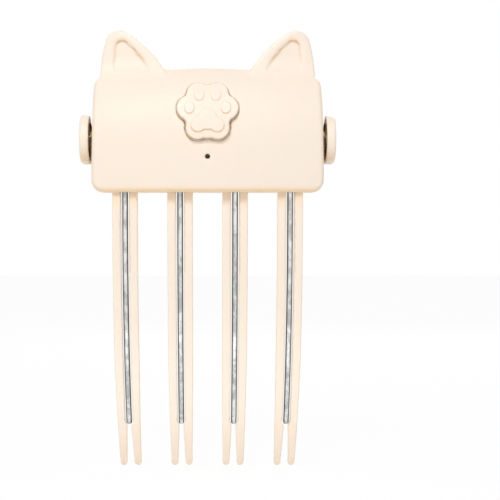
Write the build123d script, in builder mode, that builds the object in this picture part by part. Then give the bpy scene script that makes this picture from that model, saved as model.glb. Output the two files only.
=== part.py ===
from build123d import *
import os
from math import asin, cos, degrees, pi, radians, sin, sqrt

# Hinged hair clip: a moulded front comb with four forks, and a rear arm that holds four heated rods.
# Millimetres. +Z up, front is -Y, +X to the right of someone who faces the front.
# The origin is the middle of the comb's root, where the forks leave the housing, on the rods' own line.
os.makedirs("parts", exist_ok=True)

# Housing
housing_half = 42.0
housing_top = 45.6
top_arch = 3.7
side_taper = 0.7
wall = 1.8
seam = 0.15
plan_radius = 220.0
front_y = -8.8
upper_radius = 34.0
lower_radius = 110.0
corner_low = 4.5
corner_high = 3.6
front_round = 2.0
back_y = 14.6
flange_back_y = 3.8

# Hinge
hinge_y = 7.0
hinge_z = 19.8
barrel_r = 7.6
pin_r = 1.5
running_gap = 0.05
hinge_boss_r = 3.6
hinge_boss_depth = 4.8
pad_stands = 0.25
lug_gap = 1.2
lug_r = 8.9
lug_width = 3.4
spring_room_r = 7.15
spring_room_depth = 2.25
lug_boss_r = 3.0
cap_r = 6.0
cap_thick = 0.6
cap_gap = 0.05
washer_thick = 1.0
pin_break = 0.2
cap_round = 0.25
press_gap = 0.01
clip_r = 2.8
clip_thick = 0.5
clip_mouth = 2.0
clip_room = 0.12
pin_nose = 0.5
groove_r = 1.15

# Torsion springs
spring_wire = 0.7
spring_mean_r = 6.2
spring_pitch = 1.15
spring_turns = 2
spring_leg = 1.3
spring_bend = 0.8
spring_side_gap = 0.1
spring_leg_gap = 0.15
spring_hole_gap = 0.15

# Ears: each point is given as how far in from the housing's end, and how far over its top
ear_face_y = 1.4
ear_blend = 14.0
ear_blend_top = 3.7
ear_blend_turn = 33.9
ear_edge = 1.753
ear_round = 0.9
ear_left = (27.4, -3.2)
ear_shoulder = (19.0, 8.8)
ear_apex = (6.8, 17.2)
ear_tip_r = 5.0
ear_flank = (3.5, 5.4)
ear_right = (2.8, -5.6)
ear_foot = -8.1
ear_reach = 18.4
ear_rim_start = -0.6
inner_left = (22.0, -3.0)
inner_shoulder = (17.0, 5.8)
inner_apex = (8.7, 13.6)
inner_tip_r = 2.8
inner_flank = (7.5, 4.4)
inner_right = (7.8, -3.0)
inner_depth = 0.9
inner_rise = 1.7
inner_foot = -3.6
inner_turn = 45.0

# Paw button
button_z = 28.5
button_stands = 2.2
button_wall = 1.3
button_gap = 0.14
button_round = 0.7
button_travel = 0.5
notch_round = 2.0
lobe_top = (3.4, 6.5, 4.1)
lobe_side = (6.5, 1.2, 4.6)
lobe_low = (3.6, -5.9, 4.4)
crown = (5.8, 4.2)
core = (0.0, 6.6)
heel = (-5.5, 4.4)
pad_height = 0.5
toe_top = (3.0, 6.1)
toe_side = (6.5, 1.4)
toe_half = (1.7, 2.05)
heel_side = (3.4, -4.9, 2.4)
heel_bridge = 1.5
heel_dip = 1.2
heel_top = (0.0, -2.0, 3.0)
flange_lip = 1.2
flange_thick = 1.0
flange_gap = 0.12
stem_r = 2.0

# Indicator
led_hole_r = 0.82
led_z = 12.6
lens_gap = 0.06
lens_sunk = 0.7
lens_head_r = 1.7
lens_slope = 0.15
lens_dome = 0.3
lens_flange = 1.4
led_r = 1.5
led_length = 3.0
led_lead = 0.4
led_lead_x = 0.65
led_lead_y = 1.4
led_lead_z = 17.5

# Comb
fork_count = 4
fork_inset = 12.15
fork_width = 9.2
slot_width = 2.9
comb_radius = 155.0
rod_end_z = -86.7
tip_z = -104.8
tine_root = 3.6
tine_middle = 3.4
tine_tip = 2.2
tine_narrows = -62.0
tine_step = 1.8
tip_gap_low = 2.9
tine_tip_width = 2.65
tip_gap = 1.5
tine_round = 0.65
round_share = 0.41
root_bar_end = 0.45
root_bar_lap = 1.0
root_bar_low = 2.0
root_bar_high = 10.3
root_bar_front = -3.2
bar_round_top = 1.0
notch_gap = 0.2

# Heated rods
rod_r = 1.05
rod_wall = 0.25
rod_z = 4.8
rod_bend = 2.5
rod_round = 0.6
rod_back_y = 9.2
core_r = 0.7
core_end = 6.0
core_tip_room = 2.0
slot_lift = 0.4

# Rear arm
arm_gap = 0.6
wrap_gap = 0.75
arm_thick = 2.2
arm_inset = 0.5
lever_lean = 22.0
lever_drop = 3.9
lever_corner = 6.0
bar_corner = 5.0
bar_back_y = 12.6
bar_low_z = 0.4
bar_round = 2.5
bar_swell = 1.0
bar_hip_z = 9.5
bar_hip_r = 5.0
arm_round = 0.7
tab_r = 11.6
tab_inset = 0.3
tab_round = 0.8
lug_round = 0.9
lug_break = 0.25
holder_inset = 5.6
holder_low = 1.9
holder_high = 8.4
holder_depth = 4.4
holder_sunk = 0.3
holder_gap = 0.1
pocket_depth = 6.9
holder_break = 0.5
rod_post_inset = 0.5
strip_gap = 0.2
strip_thick = 0.8
strip_low = 2.4
strip_high = 8.0
sensor_half = 1.0
sensor_tall = 0.9
sensor_round = 0.25
holder_screw_z = 5.2
holder_screw_bite = 3.0

# Electronics
board_inset = 12.0
board_front_y = 4.8
board_thick = 1.0
board_low = 14.8
board_drop = 8.2
board_tongue = 3.0
board_tongue_half = 6.0
board_corner = 1.5
controller = (-12.0, 26.0, 5.0, 5.0, 0.9)
coil_choke = (13.5, 27.0, 4.0, 4.0, 2.0)
left_driver = (-20.0, 20.5, 3.0, 3.0, 1.0)
right_driver = (20.0, 20.5, 3.0, 3.0, 1.0)
capacitor_count = 5
capacitor_x = -9.0
capacitor_pitch = 3.0
capacitor_half = 0.4
capacitor_z = 20.0
cell_inset = 4.5
cell_thick = 5.4
cell_low = 17.0
cell_drop = 2.4
cell_round = 1.2
pad_thick = 0.4
pad_inset = 3.0
lead_r = 0.5
lead_bend = 1.0
lead_rise = 1.5
lead_insets = (10.5, 8.0)
usb_width = 8.94
usb_height = 3.2
usb_length = 7.35
usb_wall = 0.3
usb_round = 1.1
usb_floor = 1.0
tongue_half = 3.35
tongue_thick = 0.7
tongue_sunk = 0.6
usb_sunk = 0.4
usb_hole_gap = 0.25
switch_size = 6.0
switch_body = 3.4
switch_stands = 1.1
plunger_r = 1.7
plunger_gap = 0.08
plunger_sunk = 0.9

# Screws
screw_r = 0.95
screw_head_r = 1.8
screw_head = 1.2
screw_drive_r = 0.7
screw_break = 0.3
screw_boss_r = 2.2
screw_gap = 0.1
thread_gap = 0.02
cover_screw_inset = 4.4
cover_screw_low = 7.5
cover_screw_top_inset = 8.0
cover_screw_drop = 11.6
board_screw_inset = 2.0
board_screw_drop = 3.4
comb_screw_z = 7.6
screw_grip = 4.5
comb_grip = 2.0
cover_screw_length = 5.5
board_screw_length = 4.5
comb_screw_length = 6.8
holder_screw_length = 6.5

# How far cutting tools run past what they cut
past = 1.0
front_room = 12.0
side_room = 5.0
tub_past = 20.0

# Worked out from the sizes above
plan_axis_y = front_y + plan_radius
bend_z = hinge_z
far_front = front_y - front_room
full_depth = back_y - far_front
hinge_boss_in = housing_half - hinge_boss_depth
fork_pitch = 2 * (housing_half - fork_inset) / (fork_count - 1)
root_bar_half = housing_half - fork_inset + fork_width / 2 + root_bar_end
arm_half = housing_half - arm_inset
lever_top = housing_top - lever_drop
holder_half = arm_half - holder_inset
board_half = housing_half - board_inset
board_high = housing_top - board_drop
board_back_y = board_front_y + board_thick
board_tongue_high = board_high + board_tongue
board_screw_x = board_half - board_screw_inset
board_screw_z = board_high - board_screw_drop
cell_half = board_half - cell_inset
cell_high = board_high - cell_drop
lead_z = cell_high + lead_rise
lead_places = [cell_half - inset for inset in lead_insets]
cover_screw_x = housing_half - cover_screw_inset
cover_screw_top_x = housing_half - cover_screw_top_inset
cover_screw_high = housing_top - cover_screw_drop
hinge_face = housing_half - side_taper * hinge_z / (housing_top - top_arch) + pad_stands
lug_in = hinge_face + lug_gap
lug_out = lug_in + lug_width
inner_reach = housing_half + side_room
ear_end_y = plan_axis_y - sqrt((plan_axis_y - ear_face_y) ** 2 - housing_half**2)
ear_back_y = ear_end_y + ear_edge
tip_angle = degrees(asin(-tip_z / comb_radius))
tine_fillet = min(tine_round, tine_tip * cos(radians(tip_angle)) * round_share)
rod_angle = degrees(asin(-rod_end_z / comb_radius))
fork_places = [(i - (fork_count - 1) / 2) * fork_pitch for i in range(fork_count)]
sides = {"left": -1, "right": 1}


# A plane that looks along +Y, with its own x along +X and its own y along +Z
def facing(y):
    return Plane(origin=(0, y, 0), x_dir=(1, 0, 0), z_dir=(0, -1, 0))


# A plane across the part, with its own x along +Y and its own y along +Z
def across(x):
    return Plane(origin=(x, 0, 0), x_dir=(0, 1, 0), z_dir=(1, 0, 0))


# The solid behind the housing's curved front, pushed out by outset
def front_form(outset):
    profile_plane = Plane(origin=(0, plan_axis_y, 0), x_dir=(0, 1, 0), z_dir=(1, 0, 0))
    reach = plan_radius + outset
    high = upper_radius + outset
    low = lower_radius + outset
    turn_high = 75.0
    turn_low = 14.0
    top = (reach - high * (1 - cos(radians(turn_high))), bend_z + high * sin(radians(turn_high)))
    bottom = (reach - low * (1 - cos(radians(turn_low))), bend_z - low * sin(radians(turn_low)))
    with BuildPart() as form:
        with BuildSketch(profile_plane):
            with BuildLine():
                CenterArc((reach - high, bend_z), high, 0, turn_high)
                CenterArc((reach - low, bend_z), low, -turn_low, turn_low)
                Polyline(top, (0, top[1]), (0, bottom[1]), bottom)
            make_face()
        revolve(axis=Axis((0, plan_axis_y, 0), (0, 0, 1)))
    return form.part


# The solid behind an ear's face, or behind the floor of its hollow
def ear_form(sink, rise, turn):
    profile_plane = Plane(origin=(0, plan_axis_y, 0), x_dir=(0, 1, 0), z_dir=(1, 0, 0))
    face = plan_axis_y - ear_face_y - sink
    top = housing_top + ear_blend_top + rise
    foot = housing_top + ear_foot
    reach = housing_top + ear_reach
    out = face + ear_blend * (1 - cos(radians(turn)))
    low = top - ear_blend * sin(radians(turn))
    with BuildPart() as form:
        with BuildSketch(profile_plane):
            with BuildLine():
                CenterArc((face + ear_blend, top), ear_blend, 180, turn)
                Polyline((out, low), (out, foot), (0, foot), (0, reach), (face, reach), (face, top))
            make_face()
        revolve(axis=Axis((0, plan_axis_y, 0), (0, 0, 1)))
    return form.part


# The housing's outline seen from the front, drawn in by inset
def housing_outline(inset, y, depth):
    half = housing_half - inset
    top = housing_top - inset
    low = inset
    shoulder = top - top_arch
    with BuildPart() as slab:
        with BuildSketch(facing(y)) as outline:
            with BuildLine():
                Line((-half, low), (half, low))
                Line((half, low), (half - side_taper, shoulder))
                ThreePointArc((half - side_taper, shoulder), (0, top), (side_taper - half, shoulder))
                Line((side_taper - half, shoulder), (-half, low))
            make_face()
            fillet(outline.vertices().group_by(Axis.Y)[0], corner_low - inset)
            fillet(outline.vertices().group_by(Axis.Y)[-1], corner_high - inset)
        extrude(amount=-depth)
    return slab.part


# How far back the housing's front lies on its middle line, at a height
def face_y(z, outset):
    radius = upper_radius if z > bend_z else lower_radius
    return front_y + radius - sqrt((radius + outset) ** 2 - (z - bend_z) ** 2)


# The housing's outline seen from the side at its back, drawn in by inset and cut from end to end
def back_profile(inset, half):
    radius = barrel_r - inset
    flange = flange_back_y - inset
    back = back_y - inset
    drop = sqrt(radius**2 - (hinge_y - flange) ** 2)
    start = degrees(asin(-drop / radius))
    high = housing_top + ear_reach
    with BuildPart() as slab:
        with BuildSketch(across(-half)):
            with BuildLine():
                Polyline((far_front, -front_room), (flange, -front_room), (flange, hinge_z - drop))
                CenterArc((hinge_y, hinge_z), radius, -180 - start, 180 + start)
                Polyline((back, hinge_z), (back, high), (far_front, high), (far_front, -front_room))
            make_face()
        extrude(amount=2 * half)
    return slab.part


# The paw's outline, pushed out by outset, as a slab from far in front
def paw_slab(outset, notch, depth):
    with BuildPart() as slab:
        with BuildSketch(facing(far_front)) as outline:
            for z, r in (crown, core, heel):
                with Locations((0, button_z + z)):
                    Circle(r + outset)
            for x, z, r in (lobe_top, lobe_side, lobe_low):
                with Locations((x, button_z + z), (-x, button_z + z)):
                    Circle(r + outset)
            if notch > 0:
                fillet(outline.vertices(), notch)
        extrude(amount=-depth)
    return slab.part


# A round bar or tool that lies along Y from a point, towards -Y if its length is negative
def round_y(x, y, z, r, length):
    way = 1 if length > 0 else -1
    return Solid.make_cylinder(r, abs(length), Plane(origin=(x, y, z), x_dir=(1, 0, 0), z_dir=(0, way, 0)))


# A round bar or tool that lies along X from a point, towards -X if its length is negative
def round_x(x, y, z, r, length):
    way = 1 if length > 0 else -1
    return Solid.make_cylinder(r, abs(length), Plane(origin=(x, y, z), x_dir=(0, 1, 0), z_dir=(way, 0, 0)))


# A block between two corners
def block(low, high):
    size = [b - a for a, b in zip(low, high)]
    return Solid.make_box(*size, Plane(origin=low))


# A screw that lies along Y, with its head's top at a depth and its tip towards way
def screw(x, head_y, z, length, way):
    with BuildPart() as made:
        with BuildSketch(Plane(origin=(x, head_y, z), x_dir=(1, 0, 0), z_dir=(0, way, 0))):
            Circle(screw_head_r)
        extrude(amount=screw_head)
        chamfer(made.edges().filter_by(GeomType.CIRCLE).sort_by(Axis.Y)[0 if way > 0 else -1], screw_break)
        with BuildSketch(Plane(origin=(x, head_y, z), x_dir=(1, 0, 0), z_dir=(0, way, 0))):
            Circle(screw_r)
        extrude(amount=length)
        with BuildSketch(Plane(origin=(x, head_y, z), x_dir=(1, 0, 0), z_dir=(0, way, 0))):
            RegularPolygon(screw_drive_r, 6)
        extrude(amount=screw_head / 2, mode=Mode.SUBTRACT)
    return made.part


# One ear's outline, or that of its hollow, as a slab between two depths
def ear_slab(points, tip_r, foot_drop, depth):
    places = [(housing_half - inset, housing_top + rise) for inset, rise in points]
    foot_left, shoulder, apex, flank, foot_right = places
    foot = housing_top + foot_drop
    with BuildPart() as slab:
        with BuildSketch(facing(far_front)) as outline:
            with BuildLine():
                ThreePointArc(foot_left, shoulder, apex)
                ThreePointArc(apex, flank, foot_right)
                Polyline(foot_right, (foot_right[0], foot), (foot_left[0], foot), foot_left)
            make_face()
            fillet(outline.vertices().sort_by(Axis.Y)[-1], tip_r)
        extrude(amount=-depth)
    return slab.part


skin = front_form(0)
lining = front_form(-wall)

# Ears
ear_depth = ear_back_y - far_front
ear_points = (ear_left, ear_shoulder, ear_apex, ear_flank, ear_right)
inner_points = (inner_left, inner_shoulder, inner_apex, inner_flank, inner_right)
ear_block = ear_slab(ear_points, ear_tip_r, ear_foot, ear_depth)
rim_low = housing_top + ear_rim_start
with BuildPart() as ear:
    add(ear_block)
    add(ear_form(0, 0, ear_blend_turn), mode=Mode.INTERSECT)
    rims = ear.edges().filter_by(lambda e: e.center().Z > rim_low and abs(e.tangent_at(0.5).Y) < 0.8)
    fillet(rims, ear_round)

# Shared tools for the housing
ear_pair = [ear.part, mirror(ear.part, about=Plane.YZ)]
inner_block = ear_slab(inner_points, inner_tip_r, inner_foot, ear_depth)
ear_hollow = inner_block - ear_form(inner_depth, inner_rise, inner_turn)
tub_room = housing_outline(wall, far_front, full_depth + tub_past) & lining
paw_depth = board_front_y - far_front
button_hole = paw_slab(button_gap, notch_round - button_gap, paw_depth)
screw_places = [(s * cover_screw_x, cover_screw_low) for s in (-1, 1)]
screw_places += [(s * cover_screw_top_x, cover_screw_high) for s in (-1, 1)]
board_places = [(s * board_screw_x, board_screw_z) for s in (-1, 1)]
comb_places = [(0, comb_screw_z), (-fork_pitch, comb_screw_z), (fork_pitch, comb_screw_z)]
cover_inside_y = {cover_screw_low: flange_back_y - wall, cover_screw_high: back_y - wall}
usb_y = board_back_y + usb_height / 2
usb_top = housing_top - usb_sunk

# Posts on the inside of the housing's front, with the holes that their screws bite into
post_ends = [(screw_places[:2], cover_inside_y[cover_screw_low], screw_grip)]
post_ends += [(screw_places[2:], cover_inside_y[cover_screw_high], screw_grip)]
post_ends += [(board_places, board_front_y, screw_grip), (comb_places, root_bar_front, comb_grip)]
posts = []
post_holes = []
for places, end_y, grip in post_ends:
    for x, z in places:
        posts.append(round_y(x, front_y, z, screw_boss_r, end_y - front_y) & skin)
        post_holes.append(round_y(x, end_y, z, screw_r + thread_gap, -grip))

# Torsion spring on the right: a leg in the housing's end, two turns, and a leg in the arm's lug
spring_start = hinge_face + spring_side_gap + spring_wire / 2


def coil_point(turn):
    angle = radians(180 + 360 * turn)
    x = spring_start + spring_pitch * turn
    return Vector(x, hinge_y + spring_mean_r * cos(angle), hinge_z + spring_mean_r * sin(angle))


def coil_way(turn):
    angle = radians(180 + 360 * turn)
    ring = 2 * pi * spring_mean_r
    return Vector(spring_pitch, -ring * sin(angle), ring * cos(angle)).normalized()


# Two arcs that join two points and leave each along its own direction
def two_arcs(start, start_way, end, end_way):
    span = end - start
    ways = start_way + end_way
    square = 2 * (start_way.dot(end_way) - 1)
    middle = -2 * span.dot(ways)
    whole = span.dot(span)
    reach = (-middle - sqrt(middle**2 - 4 * square * whole)) / (2 * square)
    joint = (start + start_way * reach + end - end_way * reach) / 2
    return joint


leg_shift = Vector(spring_bend, 0, 0)
housing_turn = coil_point(0) - coil_way(0) * spring_bend - leg_shift
lug_turn = coil_point(spring_turns) + coil_way(spring_turns) * spring_bend + leg_shift
lug_leg_end = lug_out - cap_thick - spring_leg_gap
quarters = 4 * spring_turns
with BuildPart() as torsion_spring:
    with BuildLine() as wire_line:
        Line(housing_turn - Vector(spring_leg, 0, 0), housing_turn)
        TangentArc(housing_turn, coil_point(0), tangent=(1, 0, 0))
        for i in range(quarters):
            start, start_way = coil_point(i / 4), coil_way(i / 4)
            end, end_way = coil_point((i + 1) / 4), coil_way((i + 1) / 4)
            halfway = two_arcs(start, start_way, end, end_way)
            first = TangentArc(start, halfway, tangent=start_way)
            TangentArc(halfway, end, tangent=first % 1)
        TangentArc(coil_point(spring_turns), lug_turn, tangent=coil_way(spring_turns))
        Line(lug_turn, Vector(lug_leg_end, lug_turn.Y, lug_turn.Z))
    with BuildSketch(Plane(origin=wire_line.line @ 0, z_dir=(1, 0, 0))):
        Circle(spring_wire / 2)
    sweep()
spring_pair = {"right": torsion_spring.part, "left": mirror(torsion_spring.part, about=Plane.YZ)}
spring_hole_r = spring_wire / 2 + spring_hole_gap

# Front shell: a tub that is open at the back, with the ears moulded on it
with BuildPart() as front_shell:
    add(housing_outline(0, far_front, full_depth + past))
    add(skin, mode=Mode.INTERSECT)
    add(back_profile(0, inner_reach), mode=Mode.INTERSECT)
    rims = front_shell.edges().filter_by(lambda e: abs(e.tangent_at(0.5).Y) < 0.75)
    rims = rims.filter_by(lambda e: e.center().Y < flange_back_y - seam)
    fillet(rims.filter_by(lambda e: abs(e.center().Z - bend_z) > seam), front_round)
    add(ear_pair)
    add([ear_hollow, mirror(ear_hollow, about=Plane.YZ)], mode=Mode.SUBTRACT)
    add(tub_room, mode=Mode.SUBTRACT)
    add(button_hole, mode=Mode.SUBTRACT)
    add(posts)
    add(post_holes, mode=Mode.SUBTRACT)
    for s in sides.values():
        add(round_x(s * hinge_boss_in, hinge_y, hinge_z, hinge_boss_r, s * (hinge_face - hinge_boss_in)))
        boss_length = s * (hinge_face - hinge_boss_in)
        pin_hole = round_x(s * hinge_boss_in, hinge_y, hinge_z, pin_r + running_gap, boss_length)
        add(pin_hole, mode=Mode.SUBTRACT)
        leg_x = s * (housing_turn.X - spring_leg - spring_leg_gap)
        leg_hole = round_x(leg_x, housing_turn.Y, housing_turn.Z, spring_hole_r, s * hinge_boss_r)
        add(leg_hole, mode=Mode.SUBTRACT)
    notch = fork_width / 2 + notch_gap
    notch_front = -tine_root / 2 - notch_gap
    notches = [block((x - notch, notch_front, -past), (x + notch, back_y, wall + past)) for x in fork_places]
    add(notches, mode=Mode.SUBTRACT)
    add(round_y(0, far_front, led_z, led_hole_r, -far_front), mode=Mode.SUBTRACT)
    with BuildSketch(Plane.XY.offset(housing_top + past)):
        with Locations((0, usb_y)):
            hole_wide, hole_high = usb_width + 2 * usb_hole_gap, usb_height + 2 * usb_hole_gap
            RectangleRounded(hole_wide, hole_high, usb_round + usb_hole_gap)
    extrude(amount=-(2 * wall + past), mode=Mode.SUBTRACT)
front_shell.part.label = "front_shell"
export_step(front_shell.part, "parts/front_shell.step")

# Back cover: a skin set in the tub's open back, with slots that the rods swing out through
slot_high = rod_z + rod_r + slot_lift
slot = slot_width / 2
rod_slots = [block((x - slot, -2 * rod_r, -past), (x + slot, back_y, slot_high)) for x in fork_places]
cover_heads_y = {cover_screw_low: flange_back_y, cover_screw_high: back_y}
with BuildPart() as back_cover:
    add(housing_outline(wall + seam, far_front, full_depth + past))
    add(back_profile(0, inner_reach), mode=Mode.INTERSECT)
    add(back_profile(wall, inner_reach + past), mode=Mode.SUBTRACT)
    add(rod_slots, mode=Mode.SUBTRACT)
    for x, z in screw_places:
        head_y = cover_heads_y[z] + past
        add(round_y(x, head_y, z, screw_head_r + screw_gap, -screw_head - past), mode=Mode.SUBTRACT)
        add(round_y(x, head_y, z, screw_r + screw_gap, -2 * wall), mode=Mode.SUBTRACT)
back_cover.part.label = "back_cover"
export_step(back_cover.part, "parts/back_cover.step")

cover_screw_set = [screw(x, cover_heads_y[z], z, cover_screw_length, -1) for x, z in screw_places]
with BuildPart() as cover_screws:
    add(cover_screw_set)
cover_screws.part.label = "cover_screws"
export_step(cover_screws.part, "parts/cover_screws.step")


# A point beside the rods' arc: how far round it, and how far outside it
def arc_point(angle, outset):
    reach = comb_radius + outset
    return (comb_radius - reach * cos(radians(angle)), -reach * sin(radians(angle)))


# Comb: one tine, then a fork of two, then four forks on a bar
bar_in = root_bar_low + root_bar_lap
half_fork = fork_width / 2
front_root, back_root = (-tine_root / 2, 0), (tine_root / 2, 0)
front_tip = arc_point(tip_angle + past, tine_tip / 2)
back_tip = arc_point(tip_angle + past, -tine_tip / 2)
tip_in = tip_gap_low / 2
tip_out = tip_in + tine_tip_width
tip_start = tip_z + tine_tip_width / 2
step_high = rod_end_z + rod_round
step_low = step_high - tine_step
with BuildPart() as tine:
    with BuildSketch(across(0)):
        with BuildLine():
            ThreePointArc(front_root, arc_point(tip_angle / 2, tine_middle / 2), front_tip)
            Line(front_tip, back_tip)
            ThreePointArc(back_tip, arc_point(tip_angle / 2, -tine_middle / 2), back_root)
            Polyline(back_root, (tine_root / 2, bar_in), (-tine_root / 2, bar_in), front_root)
        make_face()
    extrude(amount=fork_width)
    with BuildSketch(facing(-tine_root)):
        with BuildLine():
            Polyline((tip_in, tip_start), (tip_gap / 2, step_low), (slot, step_high), (slot, bar_in))
            Polyline((slot, bar_in), (half_fork, bar_in), (half_fork, tine_narrows), (tip_out, tip_start))
            ThreePointArc((tip_out, tip_start), ((tip_in + tip_out) / 2, tip_z), (tip_in, tip_start))
        make_face()
    extrude(amount=-comb_radius, mode=Mode.INTERSECT)
    rims = tine.edges().filter_by(lambda e: e.length > tine_root and e.center().Z < 0)
    rims = rims.filter_by(lambda e: abs(e.tangent_at(0.5).Z) > 0.5 or e.center().Z < tip_z + tine_fillet)
    fillet(rims, tine_fillet)
fork = tine.part + mirror(tine.part, about=Plane.YZ)
with BuildPart() as comb:
    bar_back = flange_back_y - wall - notch_gap
    add(block((-root_bar_half, root_bar_front, root_bar_low), (root_bar_half, bar_back, root_bar_high)))
    fillet(comb.edges().filter_by(Axis.X).group_by(Axis.Z)[-1], bar_round_top)
    add(front_form(-wall - seam), mode=Mode.INTERSECT)
    with Locations(*[(x, 0, 0) for x in fork_places]):
        add(fork)
    add(rod_slots, mode=Mode.SUBTRACT)
    for x, z in comb_places:
        add(round_y(x, back_y, z, screw_r + screw_gap, -2 * back_y), mode=Mode.SUBTRACT)
        add(round_y(x, bar_back + past, z, screw_head_r + screw_gap, -screw_head - past), mode=Mode.SUBTRACT)
comb.part.label = "comb"
export_step(comb.part, "parts/comb.step")


# Heated rods: closed steel tubes that run forward out of the arm, turn down and follow the comb's arc
def rod_line(x, end_angle):
    with BuildLine(across(x)) as line:
        Line((rod_back_y, rod_z), (rod_bend, rod_z))
        CenterArc((rod_bend, rod_z - rod_bend), rod_bend, 90, 90)
        Line((0, rod_z - rod_bend), (0, 0))
        CenterArc((comb_radius, 0), comb_radius, 180, end_angle)
    return line.line


def rod_solid(x, r, end_angle):
    with BuildPart() as bar:
        with BuildSketch(Plane(origin=(x, rod_back_y, rod_z), z_dir=(0, -1, 0))):
            Circle(r)
        sweep(path=rod_line(x, end_angle))
    return bar.part


core_angle = rod_angle - degrees(core_end / comb_radius)
bore_angle = core_angle + degrees(core_tip_room / comb_radius)
for i, x in enumerate(fork_places):
    bore = rod_solid(x, rod_r - rod_wall, bore_angle)
    with BuildPart() as heating_rod:
        add(rod_solid(x, rod_r, rod_angle))
        fillet(heating_rod.edges().filter_by(GeomType.CIRCLE).sort_by(Axis.Z)[0], rod_round)
        add(bore, mode=Mode.SUBTRACT)
    heating_rod.part.label = f"heating_rod_{i + 1}"
    export_step(heating_rod.part, f"parts/heating_rod_{i + 1}.step")

cores = [rod_solid(x, core_r, core_angle) for x in fork_places]
with BuildPart() as heater_cores:
    add(cores)
heater_cores.part.label = "heater_cores"
export_step(heater_cores.part, "parts/heater_cores.step")

# Rear arm: a lever that leans back, a bar that holds the rods, and a round lug at each end
arm_front_y = flange_back_y + arm_gap
wrap_r = barrel_r + wrap_gap
lean_cos, lean_sin = cos(radians(lever_lean)), sin(radians(lever_lean))
lever_foot = (hinge_y + wrap_r * lean_cos, hinge_z - wrap_r * lean_sin)
lever_run = (lever_top - lever_foot[1]) / lean_cos
lever_head = (lever_foot[0] + lever_run * lean_sin, lever_top)
lever_head_back = (lever_head[0] + arm_thick * lean_cos, lever_head[1] - arm_thick * lean_sin)
lever_foot_back = (lever_foot[0] + arm_thick * lean_cos, lever_foot[1] - arm_thick * lean_sin)
wrap_start = (arm_front_y, hinge_z - sqrt(wrap_r**2 - (hinge_y - arm_front_y) ** 2))
wrap_start_angle = degrees(asin((wrap_start[1] - hinge_z) / wrap_r))
wrap_sweep = 180 + wrap_start_angle - lever_lean


def arm_slab(half_from, half_to):
    with BuildPart() as slab:
        with BuildSketch(across(half_from)) as outline:
            with BuildLine():
                Line((arm_front_y, bar_low_z), wrap_start)
                CenterArc((hinge_y, hinge_z), wrap_r, -180 - wrap_start_angle, wrap_sweep)
                Polyline(lever_foot, lever_head, lever_head_back, lever_foot_back)
                Polyline(lever_foot_back, (bar_back_y + bar_swell, bar_hip_z), (bar_back_y, bar_low_z))
                Line((bar_back_y, bar_low_z), (arm_front_y, bar_low_z))
            make_face()
            corners = outline.vertices()
            fillet(corners.sort_by_distance((bar_back_y + bar_swell, bar_hip_z))[0], bar_hip_r)
            fillet(outline.vertices().sort_by_distance((bar_back_y, bar_low_z))[0], bar_round)
        extrude(amount=half_to - half_from)
    return slab.part


# A round lug on the right, with its rims eased, and the tab that joins it to the lever
with BuildPart() as lug:
    add(round_x(lug_in, hinge_y, hinge_z, lug_r, lug_width))
    lug_rims = lug.edges().filter_by(GeomType.CIRCLE).sort_by(Axis.X)
    fillet(lug_rims[-1], lug_round)
    fillet(lug.edges().filter_by(GeomType.CIRCLE).sort_by(Axis.X)[0], lug_break)
tab_in = arm_half - past
tab_out = lug_out - tab_inset
tab_low = (tab_in, hinge_y + lug_r / 2, bar_low_z)
tab_high = (tab_out, lever_head_back[0], lever_top)
tab_window = block(tab_low, tab_high) & round_x(tab_in, hinge_y, hinge_z, tab_r, tab_out - tab_in)
with BuildPart() as arm_tab:
    add(arm_slab(tab_in, tab_out) & tab_window)
    outer_rims = arm_tab.edges().filter_by(lambda e: e.center().X > tab_out - tab_inset / 2)
    fillet(outer_rims.filter_by(lambda e: e.center().Y > hinge_y + lug_r), tab_round)

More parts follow.
